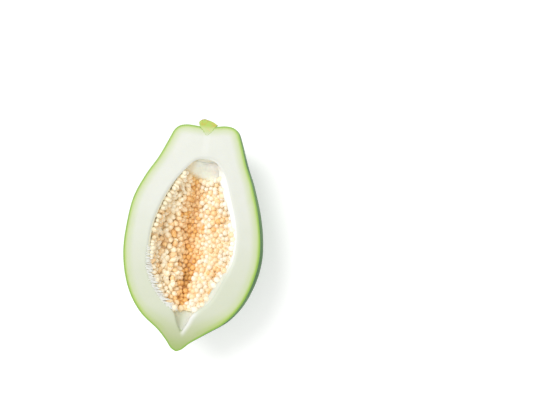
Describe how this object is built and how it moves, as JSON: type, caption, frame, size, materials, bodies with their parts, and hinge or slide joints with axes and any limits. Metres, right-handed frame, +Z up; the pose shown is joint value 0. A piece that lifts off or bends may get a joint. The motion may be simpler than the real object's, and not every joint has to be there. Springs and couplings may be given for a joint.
{
  "type": "papaya half",
  "caption": "Half of a green papaya cut lengthwise, lying cut face up: pale flesh in green skin, a hollow lined with unripe seeds, and a stub of the stalk.",
  "frame": {"origin": "under the middle of the half, on the surface that it rests on", "axes": "+Y along the fruit towards the stalk, +Z up out of the cut face, +X across the cut face"},
  "size_m": [0.1238, 0.2054, 0.0669],
  "materials": {
    "flesh": "moist white-green cut flesh inside a satin green skin",
    "seeds": "wet, glossy, cream to orange unripe seeds on a soft pale lining",
    "stalk": "dull yellow-green, corky at its edge"
  },
  "bodies": {
    "root": {"flesh_and_skin": "flesh", "seed_bed": "seeds", "stalk_stub": "stalk"}
  },
  "joints": []
}
